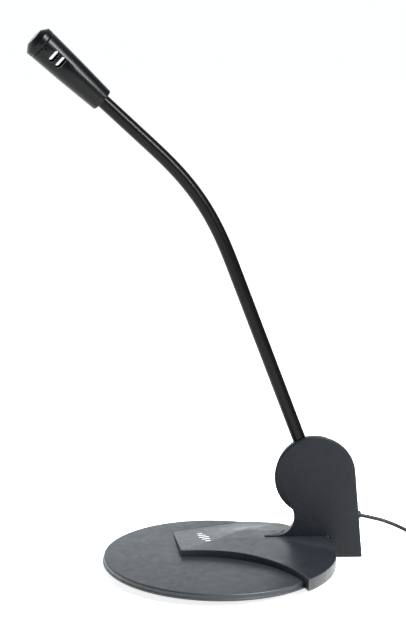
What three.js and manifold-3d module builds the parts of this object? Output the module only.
// Desktop gooseneck microphone: a weighted round base, a swept wing moulding, an upright bracket
// made of two shells, a flexible neck built as a chain of ball-ended links, a slotted capsule head,
// and a thin lead that ends in a 3.5 mm plug.
//
// Units are millimetres. While the parts are made, the origin is the centre of the base disc, just over
// the lower edge of its rim, +X runs along the bracket towards the lead, and +Z is up. The last lines move
// everything so that the origin is under the middle of the microphone, on the table.
import * as THREE from 'three';
import { mergeVertices } from 'three/addons/utils/BufferGeometryUtils.js';
import Module from 'manifold-3d';

const wasm = await Module();
wasm.setup();

// ---------------------------------------------------------------- driving dimensions
const GAP = 0.3;                 // clearance between neighbouring solids

const discR = 60;                // base disc
const discT = 3.05;
const skirtZ = -0.45;            // the disc's rim and the wing's wall reach down to here
const skirtR = 50.8;             // inner radius of the rim's skirt
const tableZ = -4;               // top of the table, below the rim of the disc
const pocketR = 48.5;            // pocket under the disc, for the ballast
const pocketZ = 0.8;
const panR = 50;                 // base pan
const panFloorZ = [-2.8, -1.3];
const ballastR = 47.3;
const ballastTop = 0.5;
const footR = 6;
const footRing = 40;             // radius on which feet and pan screws stand

const wingR = 64;             // outer wall of the wing, on the bracket's side
const wingBackR = 60.3;          // and where the wing runs out at the back
const wingFloor = 2.0;           // recess in the disc under the wing
const plateauZ = 6.5;            // flat part of the wing's top
const crestZ = 8.2;              // top of the swelling that carries the bracket
const swellHalf = [6, 38];       // it is level this far from the bracket's middle, and ends here
const rimDrop = [0.6, 1.3];      // the plateau sinks this much towards the outer wall, far from the
const rimDropSpan = [20, 50];    // bracket and beside it, and changes over these distances from it
const coneWide = 16;             // the cone beside the bracket reaches this far at the outer wall
const coneBulge = 2.6;           // how much its side bulges
const wingArc = { x: -14.6, y: -62.5, r: 60.2 };   // front edge of the wing
const backLeft = [-21.2, 39.2];  // where the ramp starts flush with the disc
const backRight = [20.8, 56.6];
const frontLeft = [-18.6, -2.4]; // where the ramp reaches the plateau
const plateauRight = [39.4, 45.3];

const bracketY = [14, 25];       // near and far face of the bracket
const bracketMid = (bracketY[0] + bracketY[1]) / 2;
const bracketWall = 1.6;
const widestY = 15;              // the walls draw in from here to the far face
const draft = 0.2;               // by this much for each millimetre
const edgeCut = 0.7;             // flat that breaks the bracket's outer edges
const round = { x: 54.25, z: 41.75, r: 22.1 };      // round top of the bracket
const roundLow = THREE.MathUtils.degToRad(237);    // where the round turns into the waist
const backLean = THREE.MathUtils.degToRad(6.0);    // its back edge leans out by this much
const legLeft = 62.9;            // the leg stands just outside the wing's wall
const legBottom = -3.85;
const footZ = 8.5;               // underside of the bracket on the wing
const footSolid = 5;             // solid height above it
const waistBow = 22;             // height that shapes the bend above the waist
const waistArc = { x: 33.9, z: 18.05, r: 9.3 };    // hollow curve down to the spur
const spurTip = [27.3, 8.65];
const hollowInset = [2.4, 3.3];  // the hollow inside the near and the far shell

const neckR = 3.6;               // flexible neck
const neckRootR = 2.7;           // its crimped end, held inside the bracket
const neckFoot = [45.15, 62.5];  // x, z where the neck leaves the bracket's rim
const neckLength = 212.4;        // from the rim to the head
const leanLow = 21.7;            // degrees from vertical, below and above the bend
const leanHigh = 47.6;
const bendSpan = [96, 182];      // stretch of the neck that is bent
const turnHigh = 6;              // degrees that the head is turned towards the front
const linkCount = 12;
const linkSides = 14;
const firstPivot = 8;            // from the rim to the first ball joint
const ballR = 2.7;
const neckBore = 1.6;            // hollow of the neck, for the wires
const rootEnd = -20;             // lower end of the neck's root, from the rim
const crimpEnd = -3.5;           // where its crimped end begins
const clampLow = -19.4;          // lower face of the block that holds it
const clampSize = [11.4, 7.3, 12];
const shoulder = 1.5;            // from the pivot down to the link's shoulder
const socketLip = 0.5;           // from the pivot up to the next link's lip

const headRearR = 6.25;
const headSwell = { along: 21, by: 0.15 };         // its sides are slightly barrelled
const headSeamR = 8.2;
const headSeam = 40.7;           // from the rear of the head to the cap
const headWall = 1.2;
const capR = 8.3;
const capEnds = [44.2, 46.7];    // end of the cap's band, and its front face
const capFrontR = 4.8;
const slotAlong = [33.5, 29.1];  // the two slots, from the rear of the head
const slotSize = [6.5, 2.8];
const portR = 0.7;               // holes in the front face
const portRing = 3;
const capsuleR = 4.85;
const capsuleAlong = [38.2, 43.2];

const cordR = 1.05;
const exitZ = 18.4;              // where the lead leaves the bracket's back edge
const exitDip = THREE.MathUtils.degToRad(11);
const grommetR = 2.3;
const cordLift = 0.02;           // the lead lies this much over the table
const coil = { x: 141, y: 13.5, mean: 12.6, half: 5.4, height: 9.8 };
const plugX = 158.6;
const plugY = [-4, -24, -38.5];  // boot end of the handle, shaft end of the handle, tip
const plugR = 4.2;
const shaftR = 1.75;             // 3.5 mm plug
const contactEnds = [0, 7.2, 7.9, 10.1, 10.8];     // sleeve, gap, ring, gap, then the tip

// ---------------------------------------------------------------- materials
// Colour, roughness and metalness.
const finishes = {
  disc: [0x6a6f74, 0.62, 0],
  shell: [0x3c4145, 0.6, 0],
  pan: [0x232527, 0.7, 0],
  steel: [0x8c8f92, 0.4, 1],
  rubber: [0x1a1a1b, 0.9, 0],
  neck: [0x18191b, 0.35, 0.2],
  head: [0x1c1d20, 0.4, 0],
  capsule: [0xb0b2b4, 0.3, 1],
  cord: [0x161718, 0.6, 0],
  plug: [0x1b1c1e, 0.5, 0],
  contact: [0xc9b37a, 0.25, 1],
  insulator: [0x101010, 0.5, 0],
};
const up = new THREE.Vector3(0, 0, 1);
const inwards = new THREE.Vector3(0, 1, 0);        // from the front towards the back

const base = new THREE.Group();

function add(name, geometry, finish, parent = base) {
  const [color, roughness, metalness] = finishes[finish];
  const mesh = new THREE.Mesh(geometry, new THREE.MeshStandardMaterial({ color, roughness, metalness }));
  mesh.name = name;
  parent.add(mesh);
  return mesh;
}

// ---------------------------------------------------------------- solid helpers
function signedVolume(geometry) {
  const p = geometry.attributes.position;
  const [a, b, c] = [new THREE.Vector3(), new THREE.Vector3(), new THREE.Vector3()];
  let total = 0;
  for (let i = 0; i < geometry.index.count; i += 3) {
    a.fromBufferAttribute(p, geometry.index.getX(i));
    b.fromBufferAttribute(p, geometry.index.getX(i + 1));
    c.fromBufferAttribute(p, geometry.index.getX(i + 2));
    total += a.dot(b.cross(c));
  }
  return total / 6;
}

// One closed indexed mesh with its faces pointing out.
function closed(geometry) {
  geometry.deleteAttribute('normal');
  geometry.deleteAttribute('uv');
  const merged = mergeVertices(geometry, 1e-4);
  const index = merged.index.array;
  const kept = [];
  for (let i = 0; i < index.length; i += 3) {
    const [a, b, c] = index.slice(i, i + 3);
    if (a !== b && b !== c && a !== c) kept.push(a, b, c);
  }
  merged.setIndex(kept);
  if (signedVolume(merged) < 0) {
    for (let i = 0; i < kept.length; i += 3) [kept[i], kept[i + 1]] = [kept[i + 1], kept[i]];
    merged.setIndex(kept);
  }
  return merged;
}

function solid(geometry) {
  const g = closed(geometry);
  const mesh = new wasm.Mesh({
    numProp: 3,
    vertProperties: new Float32Array(g.attributes.position.array),
    triVerts: new Uint32Array(g.index.array),
  });
  return new wasm.Manifold(mesh);
}

function shaped(manifold) {
  const mesh = manifold.getMesh();
  const g = new THREE.BufferGeometry();
  g.setAttribute('position', new THREE.BufferAttribute(new Float32Array(mesh.vertProperties), 3));
  g.setIndex(Array.from(mesh.triVerts));
  return g;
}

const cut = (body, ...tools) => tools.reduce((rest, tool) => rest.subtract(tool), body);
const join = (body, ...others) => others.reduce((sum, other) => sum.add(other), body);

// A solid of revolution about +Z from [radius, z] pairs.
function turned(profile, sides = 24) {
  const points = profile.map(([r, z]) => new THREE.Vector2(r, z));
  return new THREE.LatheGeometry(points, sides).rotateX(Math.PI / 2);
}

// A ring or tube: the profile closes on itself.
const ring = (profile, sides) => turned([...profile, profile[0]], sides);

// A cylinder about +Z between two heights.
function post(r, z0, z1, sides = 12) {
  return turned([[0, z0], [r, z0], [r, z1], [0, z1]], sides);
}

// A flat outline in X and Y, from z0 to z1.
function slab(shape, z0, z1, curveSegments = 12) {
  const options = { depth: z1 - z0, bevelEnabled: false, curveSegments };
  return new THREE.ExtrudeGeometry(shape, options).translate(0, 0, z0);
}

// An outline in X and Z, from y0 to y1.
function plate(shape, y0, y1, curveSegments = 12) {
  const options = { depth: y1 - y0, bevelEnabled: false, curveSegments };
  return new THREE.ExtrudeGeometry(shape, options).rotateX(Math.PI / 2).translate(0, y1, 0);
}

// Turn a shape made about +Z so that it runs along a direction from a point.
function along(geometry, from, direction) {
  const turn = new THREE.Quaternion().setFromUnitVectors(up, direction.clone().normalize());
  return geometry.applyQuaternion(turn).translate(from.x, from.y, from.z);
}

// A round tube through points, with flat ends.
function tube(points, r, steps, sides = 8) {
  const section = new THREE.Shape();
  for (let i = 0; i < sides; i++) {
    const a = (i * 2 * Math.PI) / sides;
    section[i ? 'lineTo' : 'moveTo'](r * Math.cos(a), r * Math.sin(a));
  }
  const path = new THREE.CatmullRomCurve3(points.map((p) => new THREE.Vector3(...p)));
  return new THREE.ExtrudeGeometry(section, { steps, bevelEnabled: false, extrudePath: path });
}

// A pan-head screw: the head's outer face is at z = 0 and the shaft runs along -Z.
function screw({ headR, headH, length }) {
  const body = solid(turned([
    [0, 0], [headR * 0.8, 0], [headR, -0.3 * headH], [headR, -headH], [shank, -headH],
    [shank, -length + shank], [0, -length],
  ], 10));
  const blade = [headR * 1.1, headR * 0.25, headH];
  const cross = [[blade[0], blade[1]], [blade[1], blade[0]]]
    .map(([x, y]) => solid(new THREE.BoxGeometry(x, y, blade[2])));
  return shaped(cut(body, ...cross));
}

const polar = (r, degrees) => {
  const a = THREE.MathUtils.degToRad(degrees);
  return [r * Math.cos(a), r * Math.sin(a)];
};

const smooth = (u) => {
  const t = THREE.MathUtils.clamp(u, 0, 1);
  return t * t * (3 - 2 * t);
};

// ---------------------------------------------------------------- fixings
const panScrewAngles = [135, 225, 315];
const wingScrewRing = 54.6;
const wingScrews = [polar(wingScrewRing, -20), polar(wingScrewRing, 35)];
const footScrews = [[46.5, 22.3], [57, 22.3]];
const bracketScrews = [[66.5, 53], [39.2, 36.2], [73, 3.5], [51.5, 18]];   // x, z
const pilot = 1.25;              // screw hole radius
const shank = 0.95;              // screw radius
const panScrew = { headR: 2.2, headH: 0.8, length: 5 };
const wingScrew = { headR: 2.4, headH: 0.7, length: 4.6 };
const footScrew = { headR: 2.3, headH: 1.4, length: 9.8 };
const bracketScrew = { headR: 2.3, headH: 1.4, length: 7.2 };

// ---------------------------------------------------------------- wing outline and height
const between = (t, a, b) => [a[0] + (b[0] - a[0]) * t, a[1] + (b[1] - a[1]) * t];

// Distance of a point to the right of the line from a to b.
function beyond([x, y], a, b) {
  const [dx, dy] = [b[0] - a[0], b[1] - a[1]];
  return ((x - a[0]) * dy - (y - a[1]) * dx) / Math.hypot(dx, dy);
}

function wingHeight(x, y) {
  const fromFlush = beyond([x, y], backLeft, backRight);
  const fromPlateau = -beyond([x, y], frontLeft, plateauRight);
  const ramp = fromPlateau <= 0 ? 1 : THREE.MathUtils.clamp(fromFlush / (fromFlush + fromPlateau), 0, 1);
  const plain = discT + (plateauZ - discT) * ramp;
  // A swelling rises towards the spur and sinks again towards the outer wall.
  const away = Math.abs(y - bracketMid);
  const [level, end] = swellHalf;
  const flank = THREE.MathUtils.clamp((end - away) / (end - level), 0, 1);
  const rise = smooth((x + 16) / (spurTip[0] + 12));
  const outwards = smooth((Math.hypot(x, y) - spurTip[0] - 4) / (wingR - spurTip[0] - 4));
  const nearness = 1 - smooth((away - rimDropSpan[0]) / (rimDropSpan[1] - rimDropSpan[0]));
  const sink = THREE.MathUtils.lerp(...rimDrop, nearness) * outwards;
  const swell = (crestZ - plateauZ) * rise * flank * (1 - outwards) - sink;
  const ground = plain + swell * ramp;
  // A cone that starts at the spur carries the bracket over it.
  const beside = Math.max(0, away - (bracketY[1] - bracketY[0]) / 2);
  const reach = (coneWide * (x - spurTip[0])) / (wingR - spurTip[0]);
  const cone = reach > 0 ? Math.max(0, 1 - (beside / reach) ** coneBulge) : 0;
  return THREE.MathUtils.lerp(ground, crestZ, cone * ramp);
}

// Outer radius of the wing by angle: it stands past the disc beside the bracket and runs out at the back.
const runOut = THREE.MathUtils.radToDeg(Math.atan2(backRight[1], backRight[0]));
const wingEdgeR = (degrees) => THREE.MathUtils.lerp(wingR, wingBackR, smooth(degrees / runOut));

// The front arc meets the outer wall here.
const wingCorner = (() => {
  const apart = Math.hypot(wingArc.x, wingArc.y);
  const inwardsBy = (wingR ** 2 - wingArc.r ** 2 + apart ** 2) / (2 * apart);
  const off = Math.sqrt(wingR ** 2 - inwardsBy ** 2);
  const [ux, uy] = [wingArc.x / apart, wingArc.y / apart];
  return [ux * inwardsBy - uy * off, uy * inwardsBy + ux * off];
})();

// Points of the wing's front side and back side, from the left end to the outer wall.
function wingSides(count) {
  const cornerAngle = THREE.MathUtils.radToDeg(Math.atan2(wingCorner[1], wingCorner[0]));
  const arcFrom = Math.atan2(frontLeft[1] - wingArc.y, frontLeft[0] - wingArc.x);
  const arcTo = Math.atan2(wingCorner[1] - wingArc.y, wingCorner[0] - wingArc.x);
  const front = [];
  const back = [];
  const half = Math.round(count * 0.6);
  for (let i = 0; i <= count; i++) {
    if (i <= half) {
      const a = THREE.MathUtils.lerp(arcFrom, arcTo, i / half);
      front.push([wingArc.x + wingArc.r * Math.cos(a), wingArc.y + wingArc.r * Math.sin(a)]);
      back.push(between(i / half, backLeft, polar(wingEdgeR(runOut), runOut)));
    } else {
      const t = (i - half) / (count - half);
      front.push(polar(wingR, THREE.MathUtils.lerp(cornerAngle, 8, t)));
      const angle = THREE.MathUtils.lerp(runOut, 12, t);
      back.push(polar(wingEdgeR(angle), angle));
    }
  }
  return { front, back };
}

function wingOutline(grow) {
  const { front, back } = wingSides(20);
  const points = [...front, ...back.reverse()];
  const shape = new THREE.Shape();
  points.forEach(([x, y], i) => {
    const outX = x < -10 ? -grow : 0;
    const outY = i <= 12 ? -grow : grow;
    shape[i ? 'lineTo' : 'moveTo'](x + outX, y + outY);
  });
  return shape;
}

// Closed solid between the wing's top surface and a floor, on a grid that follows both sides.
function wingBlock(floor) {
  const [nu, nv] = [25, 10];
  const { front, back } = wingSides(nu);
  const positions = [];
  for (const top of [true, false]) {
    for (let i = 0; i <= nu; i++) {
      for (let j = 0; j <= nv; j++) {
        const [x, y] = between(j / nv, front[i], back[i]);
        positions.push(x, y, top ? wingHeight(x, y) : floor);
      }
    }
  }
  const layer = (nu + 1) * (nv + 1);
  const at = (i, j) => i * (nv + 1) + j;
  const index = [];
  const quad = (a, b, c, d) => index.push(a, b, c, a, c, d);
  for (let i = 0; i < nu; i++) {
    for (let j = 0; j < nv; j++) {
      quad(at(i, j), at(i + 1, j), at(i + 1, j + 1), at(i, j + 1));
      quad(layer + at(i, j), layer + at(i, j + 1), layer + at(i + 1, j + 1), layer + at(i + 1, j));
    }
    quad(at(i + 1, 0), at(i, 0), layer + at(i, 0), layer + at(i + 1, 0));
    quad(at(i, nv), at(i + 1, nv), layer + at(i + 1, nv), layer + at(i, nv));
  }
  for (let j = 0; j < nv; j++) {
    quad(at(0, j), at(0, j + 1), layer + at(0, j + 1), layer + at(0, j));
    quad(at(nu, j + 1), at(nu, j), layer + at(nu, j), layer + at(nu, j + 1));
  }
  const g = new THREE.BufferGeometry();
  g.setAttribute('position', new THREE.Float32BufferAttribute(positions, 3));
  g.setIndex(index);
  return g;
}

// ---------------------------------------------------------------- base
function makeBase() {
  const rim = [[0, pocketZ], [pocketR, pocketZ], [pocketR, 0], [skirtR, 0], [skirtR, skirtZ],
    [discR, skirtZ], [discR, 0.5], [discR - 0.4, 0.7], [discR - 0.4, discT - 0.8],
    [discR - 0.7, discT - 0.2], [discR - 1.3, discT], [0, discT]];
  const hole = (r, z0, z1) => (a) => solid(post(r, z0, z1).translate(...polar(footRing, a), 0));
  const pilots = panScrewAngles.map(hole(pilot, pocketZ - 1, discT - 0.6));
  const wingHoles = wingScrews.flatMap(([x, y]) => [
    solid(post(pilot, -1, discT + 1).translate(x, y, 0)),
    solid(post(wingScrew.headR + GAP, -1, 1).translate(x, y, 0)),
  ]);
  const recess = solid(slab(wingOutline(GAP), wingFloor, discT + 1));
  const disc = cut(solid(turned(rim, 60)), recess, ...pilots, ...wingHoles);
  add('base_disc', shaped(disc), 'disc');

  const [panLow, panHigh] = panFloorZ;
  const pan = solid(turned([[0, panLow], [panR - 1, panLow], [panR, panLow + 1], [panR, -GAP],
    [pocketR - 0.8, -GAP], [pocketR - 0.8, panHigh], [0, panHigh]], 48));
  const panHoles = [
    ...panScrewAngles.map(hole(pilot, panLow - 1, panHigh + 1)),
    ...panScrewAngles.map(hole(panScrew.headR + GAP, panLow - 1, panLow + 1)),
  ];
  add('base_pan', shaped(cut(pan, ...panHoles)), 'pan');

  const ballast = solid(post(ballastR, panHigh, ballastTop, 48));
  const ballastHoles = panScrewAngles.map(hole(pilot, panHigh - 1, ballastTop + 1));
  add('ballast_plate', shaped(cut(ballast, ...ballastHoles)), 'steel');

  panScrewAngles.forEach((a, i) => {
    const geometry = screw(panScrew).rotateX(Math.PI).translate(...polar(footRing, a), panLow + 0.1);
    add(`pan_screw_${i + 1}`, geometry, 'steel');
  });
  [0, 90, 180, 270].forEach((a, i) => {
    const profile = [[0, tableZ], [footR - 0.5, tableZ], [footR, tableZ + 0.4], [footR, panLow],
      [0, panLow]];
    add(`foot_${i + 1}`, turned(profile, 16).translate(...polar(footRing, a), 0), 'rubber');
  });
}

function makeWing() {
  const inner = solid(post(discR + GAP, -5, wingFloor + GAP, 60));
  const holes = [
    ...wingScrews.map(([x, y]) => solid(post(pilot, 0, 5.2).translate(x, y, 0))),
    ...footScrews.map(([x, y]) => solid(post(pilot, 0, crestZ + 2).translate(x, y, 0))),
    ...footScrews.map(([x, y]) => solid(post(footScrew.headR + GAP, 0, 4.6).translate(x, y, 0))),
  ];
  add('wing_cover', shaped(cut(solid(wingBlock(skirtZ)), inner, ...holes)), 'disc');
  wingScrews.forEach(([x, y], i) => {
    add(`wing_screw_${i + 1}`, screw(wingScrew).rotateX(Math.PI).translate(x, y, 0.2), 'steel');
  });
  footScrews.forEach(([x, y], i) => {
    add(`foot_screw_${i + 1}`, screw(footScrew).rotateX(Math.PI).translate(x, y, 2.9), 'steel');
  });
}

// ---------------------------------------------------------------- bracket
const backEdgeX = (z, inset = 0) => {
  const r = round.r - inset;
  const [x, top] = [round.x + r * Math.cos(backLean), round.z + r * Math.sin(backLean)];
  return x + (top - z) * Math.tan(backLean);
};

// Points of an arc in X and Z.
function arcLine(x, z, r, from, to, count) {
  return Array.from({ length: count + 1 }, (_, i) => {
    const a = THREE.MathUtils.lerp(from, to, i / count);
    return [x + r * Math.cos(a), z + r * Math.sin(a)];
  });
}

// The bracket's outline in X and Z, anticlockwise, where its walls have drawn in by inset.
// The hollow inside it has no spur and a solid foot below it.
function bracketLine(inset, hollow = false) {
  const line = arcLine(round.x, round.z, round.r - inset, backLean, roundLow, 26);
  const curl = waistArc.r + inset;
  const waist = waistArc.x + curl;
  const bend = new THREE.QuadraticBezierCurve(
    new THREE.Vector2(...line[line.length - 1]),
    new THREE.Vector2(waist, waistBow),
    new THREE.Vector2(waist, waistArc.z),
  );
  line.push(...bend.getPoints(4).slice(1, 4).map((p) => p.toArray()));
  const floor = hollow ? footZ + footSolid : footZ;
  const bottom = hollow ? legBottom + inset : legBottom;
  if (hollow) {
    line.push([waist, waistArc.z], [waist, floor]);
  } else {
    const thin = spurTip[1] - footZ;
    const drop = Math.min(1, (waistArc.z - footZ - 1.5 * thin) / curl);
    line.push(...arcLine(waistArc.x, waistArc.z, curl, 0, -Math.asin(drop), 9));
    const end = line[line.length - 1][0];
    const tip = THREE.MathUtils.lerp(spurTip[0], end - 0.3, Math.min(1, inset / 0.5));
    line.push([tip, spurTip[1]], [tip, floor]);
  }
  line.push([legLeft + inset, floor], [legLeft + inset, bottom], [backEdgeX(bottom, inset), bottom]);
  return line;
}

// A closed solid through outlines with the same number of points, given as [y, outline] in order.
function lofted(sections) {
  const count = sections[0][1].length;
  const positions = sections.flatMap(([y, line]) => line.flatMap(([x, z]) => [x, y, z]));
  const index = [];
  for (let k = 0; k + 1 < sections.length; k++) {
    for (let i = 0; i < count; i++) {
      const j = (i + 1) % count;
      const [a, b, c, d] = [k * count + i, k * count + j, (k + 1) * count + j, (k + 1) * count + i];
      index.push(a, d, c, a, c, b);
    }
  }
  const last = (sections.length - 1) * count;
  const face = (line) => THREE.ShapeUtils.triangulateShape(line.map((p) => new THREE.Vector2(...p)), []);
  for (const [a, b, c] of face(sections[0][1])) index.push(a, b, c);
  for (const [a, b, c] of face(sections[sections.length - 1][1])) index.push(last + a, last + c, last + b);
  const g = new THREE.BufferGeometry();
  g.setAttribute('position', new THREE.Float32BufferAttribute(positions, 3));
  g.setIndex(index);
  return g;
}

// ---------------------------------------------------------------- neck line
function neckDirection(s) {
  const bend = smooth((s - bendSpan[0]) / (bendSpan[1] - bendSpan[0]));
  const lean = THREE.MathUtils.degToRad(THREE.MathUtils.lerp(leanLow, leanHigh, bend));
  const turn = THREE.MathUtils.degToRad(turnHigh * bend);
  const [level, rise] = [Math.sin(lean), Math.cos(lean)];
  return new THREE.Vector3(-level * Math.cos(turn), -Math.sin(turn), rise * Math.cos(turn));
}

function neckPoint(s) {
  const step = 0.5;
  const p = new THREE.Vector3(neckFoot[0], bracketMid, neckFoot[1]);
  if (s <= 0) return p.addScaledVector(neckDirection(0), s);
  for (let at = 0; at < s; at += step) {
    const d = Math.min(step, s - at);
    p.addScaledVector(neckDirection(at + d / 2), d);
  }
  return p;
}

const exitX = backEdgeX(exitZ);
const exitPoint = new THREE.Vector3(exitX, bracketMid, exitZ);
const exitDirection = new THREE.Vector3(Math.cos(exitDip), 0, -Math.sin(exitDip));

function makeBracket() {
  const split = GAP / 2;
  const neckHole = () => solid(along(post(neckR + GAP + 0.1, -8, 8), neckPoint(0), neckDirection(0)));
  const leadHole = () => solid(along(post(grommetR + GAP, -7, 6), exitPoint, exitDirection));
  const hole = (r, y0, y1) => ([x, z]) => {
    return solid(along(post(r, 0, y1 - y0), new THREE.Vector3(x, y0, z), inwards));
  };

  const [nearY, farY] = bracketY;
  const section = (y, more = 0) => [y, bracketLine(Math.max(0, y - widestY) * draft + more)];
  const hollow = (y0, y1, inset) => {
    const line = bracketLine(inset, true);
    return solid(lofted([[y0, line], [y1, line]]));
  };

  const nearInner = nearY + bracketWall;
  let near = solid(lofted([section(nearY, edgeCut), section(widestY), section(bracketMid - split)]));
  near = cut(near, hollow(nearInner, bracketMid + 1, hollowInset[0]));
  near = join(near, ...bracketScrews.map(hole(2.8, nearInner - 0.5, bracketMid - split)));
  near = cut(near, ...bracketScrews.map(hole(pilot, nearInner + 1, bracketMid + 1)));
  near = cut(near, neckHole(), leadHole());
  add('bracket_near_shell', shaped(near), 'shell');

  const farInner = farY - bracketWall;
  let far = solid(lofted([section(bracketMid + split), section(farY - edgeCut), section(farY, edgeCut)]));
  far = cut(far, hollow(bracketMid - 1, farInner, hollowInset[1]));
  far = join(far, ...bracketScrews.map(hole(3.6, bracketMid + split, farInner + 0.5)));
  const footPilot = ([x, y]) => solid(post(pilot, footZ - 1, footZ + footSolid - 0.5).translate(x, y, 0));
  far = cut(far, ...bracketScrews.map(hole(pilot, bracketMid - 1, farY + 1)));
  far = cut(far, ...bracketScrews.map(hole(bracketScrew.headR + GAP, farY - 2, farY + 1)));
  far = cut(far, neckHole(), leadHole(), ...footScrews.map(footPilot));
  add('bracket_far_shell', shaped(far), 'shell');

  bracketScrews.forEach(([x, z], i) => {
    const geometry = screw(bracketScrew).rotateX(-Math.PI / 2).translate(x, farY - 0.3, z);
    add(`bracket_screw_${i + 1}`, geometry, 'steel');
  });

  const block = solid(new THREE.BoxGeometry(...clampSize).translate(0, 0, clampSize[2] / 2));
  const bored = shaped(cut(block, solid(post(neckRootR + GAP, -1, clampSize[2] + 1))));
  const lean = new THREE.Group();
  lean.rotation.y = -THREE.MathUtils.degToRad(leanLow);
  lean.position.copy(neckPoint(clampLow));
  base.add(lean);
  add('neck_clamp_block', bored, 'pan', lean);

  // The grommet's flange sits inside the wall, and its nose stands out of it.
  const bushR = cordR + GAP;
  const flange = grommetR + 1.1;
  const bush = ring([[bushR, -6.2], [flange, -6.2], [flange, -4.7], [grommetR, -4.7], [grommetR, 0.8],
    [grommetR - 0.4, 1.3], [bushR, 1.3]], 16);
  add('lead_grommet', along(bush, exitPoint, exitDirection), 'rubber');

  const start = neckPoint(rootEnd - 0.6);
  const inside = exitPoint.clone().addScaledVector(exitDirection, -4);
  const end = exitPoint.clone().addScaledVector(exitDirection, 1.2);
  const below = start.clone().addScaledVector(neckDirection(0), -5);
  const curve = [[60.5, bracketMid, 28.5], [66.5, bracketMid, 21.8]];
  const route = [start.toArray(), below.toArray(), ...curve, inside.toArray(), end.toArray()];
  add('inner_lead', tube(route, cordR, 18), 'cord');
}

// ---------------------------------------------------------------- flexible neck
const linkLength = (neckLength - firstPivot) / linkCount;
const pivots = Array.from({ length: linkCount }, (_, k) => firstPivot + k * linkLength);

// Part of a sphere's meridian, from a height over its centre up to the bore.
function meridian(r, centre, from, steps = 4) {
  const start = Math.asin(from / r);
  const end = Math.acos(neckBore / r);
  return Array.from({ length: steps + 1 }, (_, i) => {
    const a = THREE.MathUtils.lerp(start, end, i / steps);
    return [r * Math.cos(a), centre + r * Math.sin(a)];
  });
}

function makeNeck() {
  const stub = [[neckBore, rootEnd], [neckRootR, rootEnd], [neckRootR, crimpEnd], [neckR, crimpEnd],
    [neckR, firstPivot - shoulder], ...meridian(ballR, firstPivot, -shoulder)];
  add('neck_root', along(ring(stub, linkSides), neckPoint(0), neckDirection(0)), 'neck');
  pivots.forEach((s, k) => {
    const last = k === linkCount - 1;
    const from = neckPoint(s);
    const to = neckPoint(last ? neckLength : pivots[k + 1]);
    const length = from.distanceTo(to);
    const socket = meridian(ballR + GAP, 0, socketLip).reverse();
    const end = last ? [[neckR, length + 6], [neckBore, length + 6]]
      : [[neckR, length - shoulder], ...meridian(ballR, length, -shoulder)];
    const profile = [...socket, [neckR, socketLip], ...end];
    const direction = to.clone().sub(from);
    const name = `neck_link_${String(k + 1).padStart(2, '0')}`;
    add(name, along(ring(profile, linkSides), from, direction), 'neck');
  });
}

// ---------------------------------------------------------------- head
function makeHead() {
  const lastPivot = neckPoint(pivots[linkCount - 1]);
  const rear = neckPoint(neckLength);
  const axis = rear.clone().sub(lastPivot).normalize();
  const head = new THREE.Group();
  // The head's own Y stays level, so that its slots face front and back.
  const side = inwards.clone().cross(axis).normalize();
  const depth = axis.clone().cross(side);
  head.quaternion.setFromRotationMatrix(new THREE.Matrix4().makeBasis(side, depth, axis));
  head.position.copy(rear);
  base.add(head);

  const bore = neckR + GAP;
  const innerRear = headRearR - headWall + 0.3;
  const innerFront = headSeamR - headWall;
  const straightR = THREE.MathUtils.lerp(headRearR, headSeamR, headSwell.along / headSeam);
  const swellR = straightR + headSwell.by;
  const body = solid(ring([[bore, 0], [headRearR - 0.4, 0], [headRearR, 0.5],
    [swellR, headSwell.along], [headSeamR, headSeam], [innerFront, headSeam],
    [innerRear, 8], [bore, 8]], 28));
  const [slotLong, slotWide] = slotSize;
  const slots = slotAlong.map((z) => {
    const shape = new THREE.Shape();
    const reach = (slotLong - slotWide) / 2;
    shape.absarc(reach, z, slotWide / 2, -Math.PI / 2, Math.PI / 2, false);
    shape.absarc(-reach, z, slotWide / 2, Math.PI / 2, Math.PI * 1.5, false);
    return solid(plate(shape, -10, 10, 6));
  });
  const dimpleFrom = new THREE.Vector3(0, -headSeamR - 0.3, headSeam - 1.2);
  const dimple = solid(along(post(0.45, 0, 1, 10), dimpleFrom, inwards));
  add('head_body', shaped(cut(body, ...slots, dimple)), 'head', head);

  const [bandEnd, front] = capEnds;
  const cap = solid(turned([[0, front - headWall], [innerFront - 0.6, front - headWall],
    [innerFront - 0.2, headSeam + GAP], [headSeamR, headSeam + GAP], [capR, headSeam + 0.8],
    [capR, bandEnd], [capFrontR, front], [0, front]], 28));
  const ports = [[0, 0], ...[0, 60, 120, 180, 240, 300].map((a) => polar(portRing, a))];
  const port = ([x, y]) => solid(post(portR, front - 2, front + 1, 8).translate(x, y, 0));
  const drilled = cut(cap, ...ports.map(port));
  add('head_cap', shaped(drilled), 'head', head);

  const [rearZ, frontZ] = capsuleAlong;
  const can = [[0, rearZ], [capsuleR, rearZ], [capsuleR, frontZ - 0.4], [capsuleR - 0.4, frontZ],
    [0, frontZ]];
  add('mic_capsule', turned(can, 20), 'capsule', head);
  const seat = capsuleR + GAP;
  const holderR = innerFront - 0.4;
  const holder = ring([[seat, rearZ - 1.2], [holderR - 0.3, rearZ - 1.2], [holderR, headSeam],
    [holderR - GAP, headSeam + 1], [seat, headSeam + 1]], 20);
  add('capsule_holder', holder, 'rubber', head);
  // The wires keep to the side of the slots' middle.
  const lead = [[0, 0, 6.4], [1.6, 0, 9.5], [3.5, 0, 14], [4.2, 0, 22], [4.2, 0, 33], [3.4, 0, 37.8]];
  add('head_lead', tube(lead, 0.5, 12), 'cord', head);
}

// ---------------------------------------------------------------- lead, coil and plug
const cordNodes = new THREE.Group();

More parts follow.
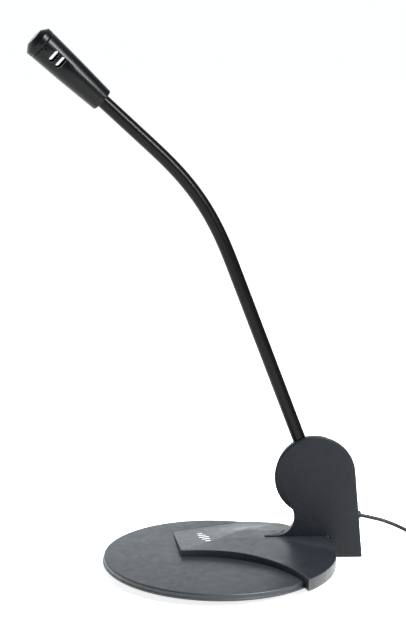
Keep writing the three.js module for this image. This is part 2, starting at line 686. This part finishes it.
function makeLead() {
  const lie = tableZ + cordR + cordLift;
  const out = exitPoint.clone().addScaledVector(exitDirection, 1.7);
  const coilSide = coil.y + coil.mean + coil.half + GAP + cordR + 0.1;
  const route = [
    out.toArray(), [84.6, 19.5, 17.2], [91, 19.6, 15.6], [99, 20, 12.6], [107, 20.9, 8.4],
    [114, 22.4, 3.8], [120.5, 24.6, -0.4], [126, 27.6, lie + 0.3], [131.5, 30.8, lie], [138, coilSide, lie],
  ];
  add('lead_run', tube(route, cordR, 24), 'cord', cordNodes);

  const [inR, outR] = [coil.mean - coil.half, coil.mean + coil.half];
  const top = tableZ + coil.height;
  const section = [[inR + 1, tableZ], [outR - 0.6, tableZ], [outR, tableZ + 0.8], [outR, top - 3],
    [outR - 2.4, top], [inR + 2.4, top], [inR, top - 2.4], [inR, tableZ + 1]];
  add('lead_coil', ring(section, 32).translate(coil.x, coil.y, 0), 'cord', cordNodes);

  // The tie is a strap over the coil, open at the table.
  const [strapT, strapW] = [0.6, 5];
  const [a, b] = [Math.sqrt(inR ** 2 - (strapW / 2) ** 2) - GAP, outR + GAP];
  const strap = new THREE.Shape();
  const over = top + GAP + strapT;
  const outer = [[a - strapT, tableZ], [a - strapT, top - 1.2], [a + 1.2, over], [b - 1.2, over],
    [b + strapT, top - 1.2], [b + strapT, tableZ]];
  const innerLine = [[b, tableZ], [b, top - 1.4], [b - 1.5, top + GAP], [a + 1.5, top + GAP],
    [a, top - 1.4], [a, tableZ]];
  [...outer, ...innerLine].forEach(([x, z], i) => strap[i ? 'lineTo' : 'moveTo'](x, z));
  const tie = plate(strap, -strapW / 2, strapW / 2).rotateZ(THREE.MathUtils.degToRad(-125));
  add('coil_tie', tie.translate(coil.x, coil.y, 0), 'rubber', cordNodes);

  const [bootY, shaftY, tipY] = plugY;
  const axisZ = tableZ + plugR + 0.05;
  const tail = [[coil.x + outR + GAP + cordR + 0.1, 16.5, tableZ + 7.4], [plugX + 2.2, 11, tableZ + 6.2],
    [plugX + 1.0, 6, axisZ + 0.4], [plugX, bootY + 8.1, axisZ]];
  add('lead_tail', tube(tail, cordR, 8), 'cord', cordNodes);

  const down = new THREE.Vector3(0, -1, 0);
  const at = (y) => new THREE.Vector3(plugX, y, axisZ);
  const boot = ring([[cordR + GAP, 0], [1.9, 0], [2.7, 7.2], [3.1, 7.5], [cordR + GAP, 7.5]], 14);
  add('plug_boot', along(boot, at(bootY + 7.8), down), 'rubber', cordNodes);
  const [gripLength, waistR] = [bootY - shaftY, plugR - 0.3];
  const grip = [[0, 0], [plugR - 0.9, 0], [plugR, 1.2], [plugR, 6], [waistR, 7], [waistR, 13], [plugR, 14],
    [plugR, 17.8], [plugR - 1, gripLength], [0, gripLength]];
  add('plug_handle', along(turned(grip, 18), at(bootY), down), 'plug', cordNodes);
  const pin = shaftY - tipY;
  const contacts = [['plug_sleeve', 'contact'], ['plug_ring_gap', 'insulator'], ['plug_ring', 'contact'],
    ['plug_tip_gap', 'insulator']];
  contacts.forEach(([name, finish], i) => {
    const geometry = post(shaftR, contactEnds[i], contactEnds[i + 1]);
    add(name, along(geometry, at(shaftY), down), finish, cordNodes);
  });
  const tipFrom = contactEnds[4];
  const tip = turned([[0, tipFrom], [shaftR, tipFrom], [shaftR, 11.5], [1.3, 12.3], [1.7, 12.9], [0.6, pin],
    [0, pin]], 12);
  add('plug_tip', along(tip, at(shaftY), down), 'contact', cordNodes);
}

makeBase();
makeWing();
makeBracket();
makeNeck();
makeHead();
makeLead();

// Stand the microphone over its own middle, with the table at zero.
const group = new THREE.Group();
group.add(base, cordNodes);
base.updateMatrixWorld(true);
const box = new THREE.Box3();
base.traverse((node) => {
  if (!node.isMesh) return;
  const p = node.geometry.attributes.position;
  for (let i = 0; i < p.count; i++) {
    box.expandByPoint(new THREE.Vector3().fromBufferAttribute(p, i).applyMatrix4(node.matrixWorld));
  }
});
group.position.set(-(box.min.x + box.max.x) / 2, -(box.min.y + box.max.y) / 2, -tableZ);

export default group;
